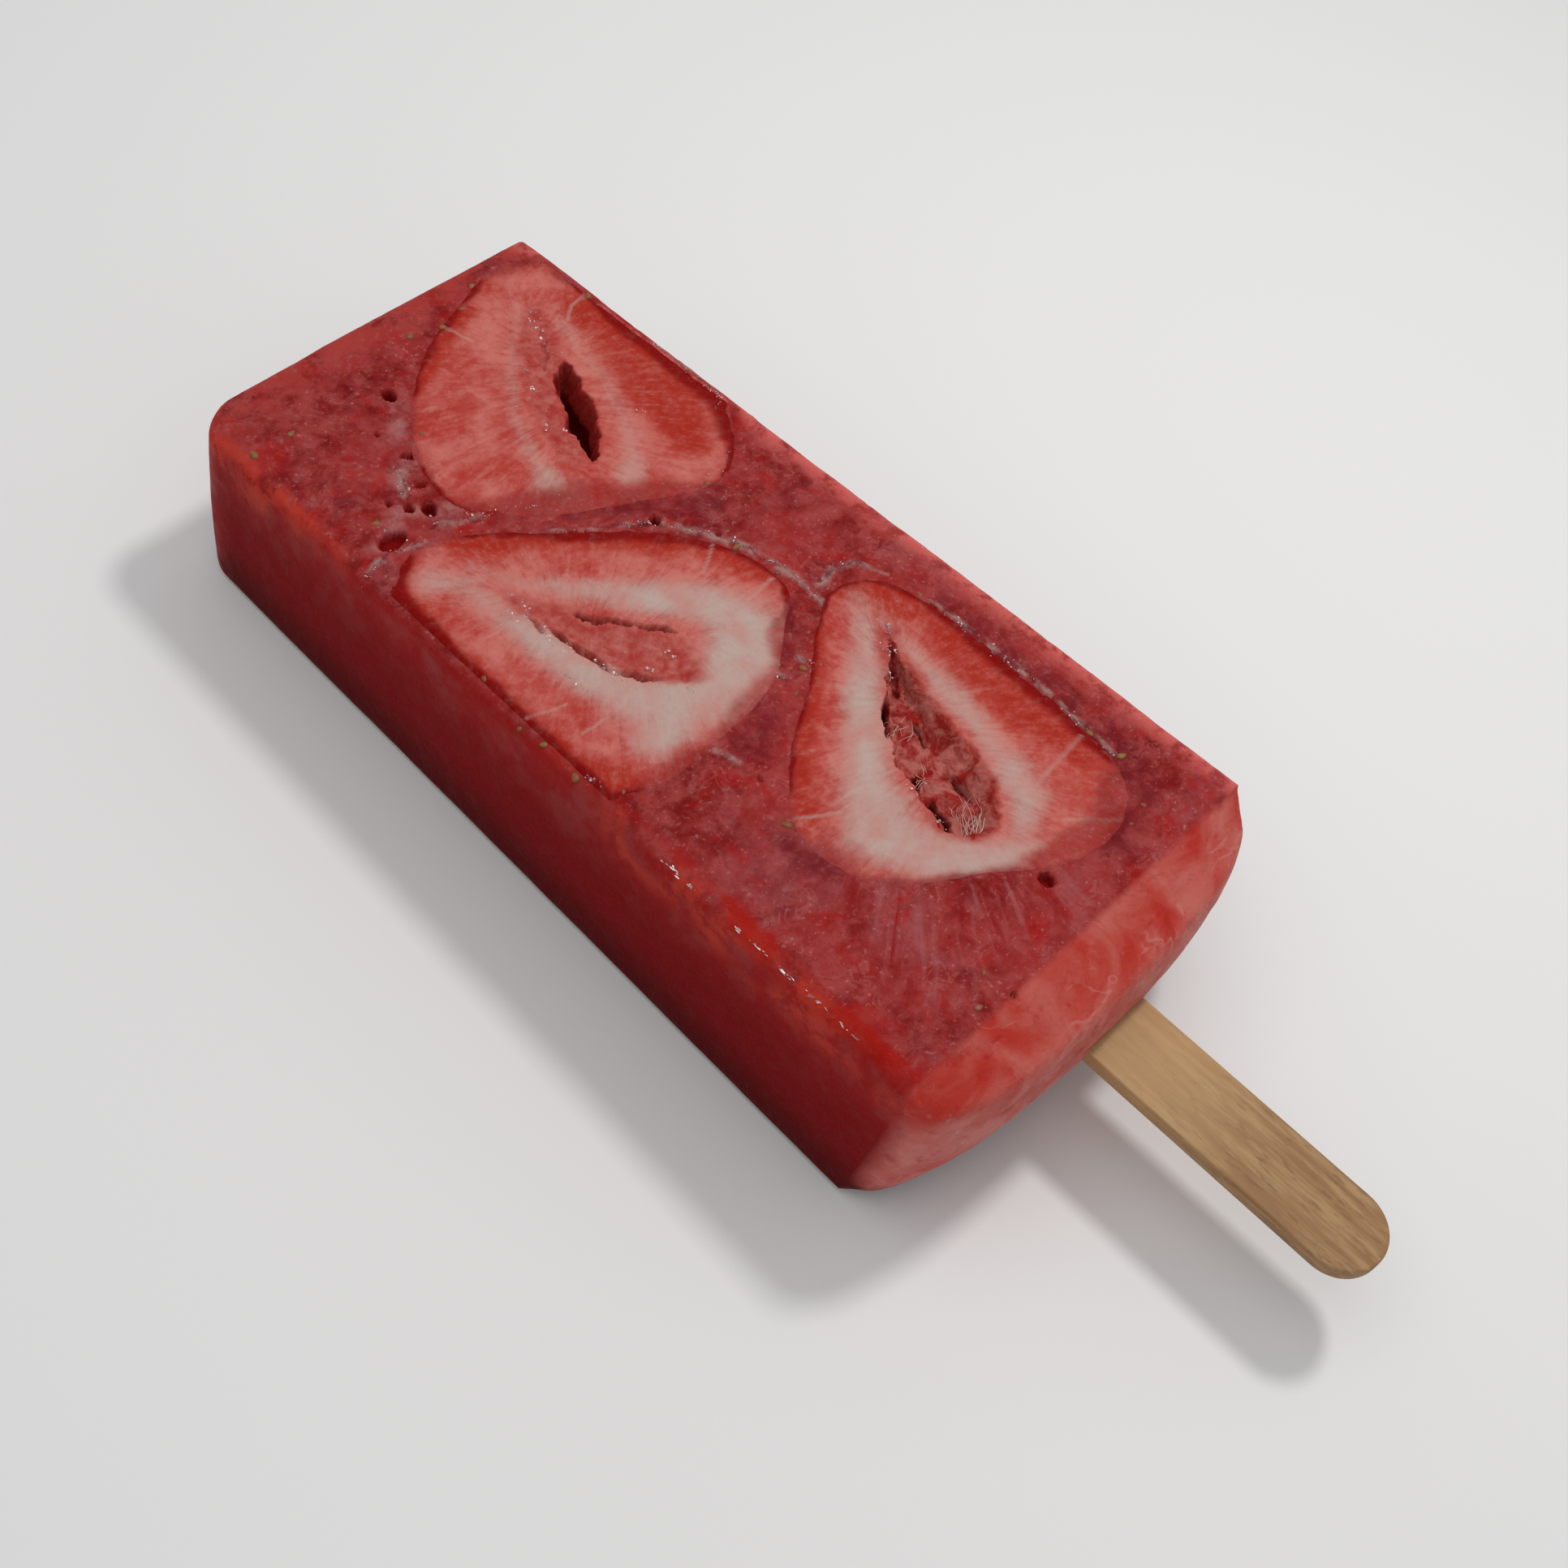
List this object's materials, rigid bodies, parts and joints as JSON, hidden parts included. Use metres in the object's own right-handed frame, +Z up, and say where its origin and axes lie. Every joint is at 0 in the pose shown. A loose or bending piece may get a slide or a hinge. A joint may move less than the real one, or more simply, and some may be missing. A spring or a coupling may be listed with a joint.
{
  "type": "ice pop",
  "caption": "Strawberry ice pop lying flat: a slab of frozen fruit puree with halved strawberries frozen into its upper face, on a flat wooden stick.",
  "frame": {"origin": "middle of the pop's box, on the underside that it lies on", "axes": "+Y from the stick's tip to the slab's far end, +Z up out of the face with the strawberries, +X to the right"},
  "size_m": [0.0528, 0.1476, 0.0261],
  "materials": {
    "fruit_ice": "frozen strawberry puree, satin with frost",
    "strawberry": "cut strawberry flesh, moist satin",
    "stick_wood": "bare birch, fine grain",
    "seed": "strawberry seed, dull yellow-green",
    "frost": "frost crystals, pale pink"
  },
  "bodies": {
    "root": {"fruit_ice": "fruit_ice", "strawberry_far": "strawberry", "strawberry_left": "strawberry", "strawberry_near": "strawberry", "stick": "stick_wood"}
  },
  "joints": []
}
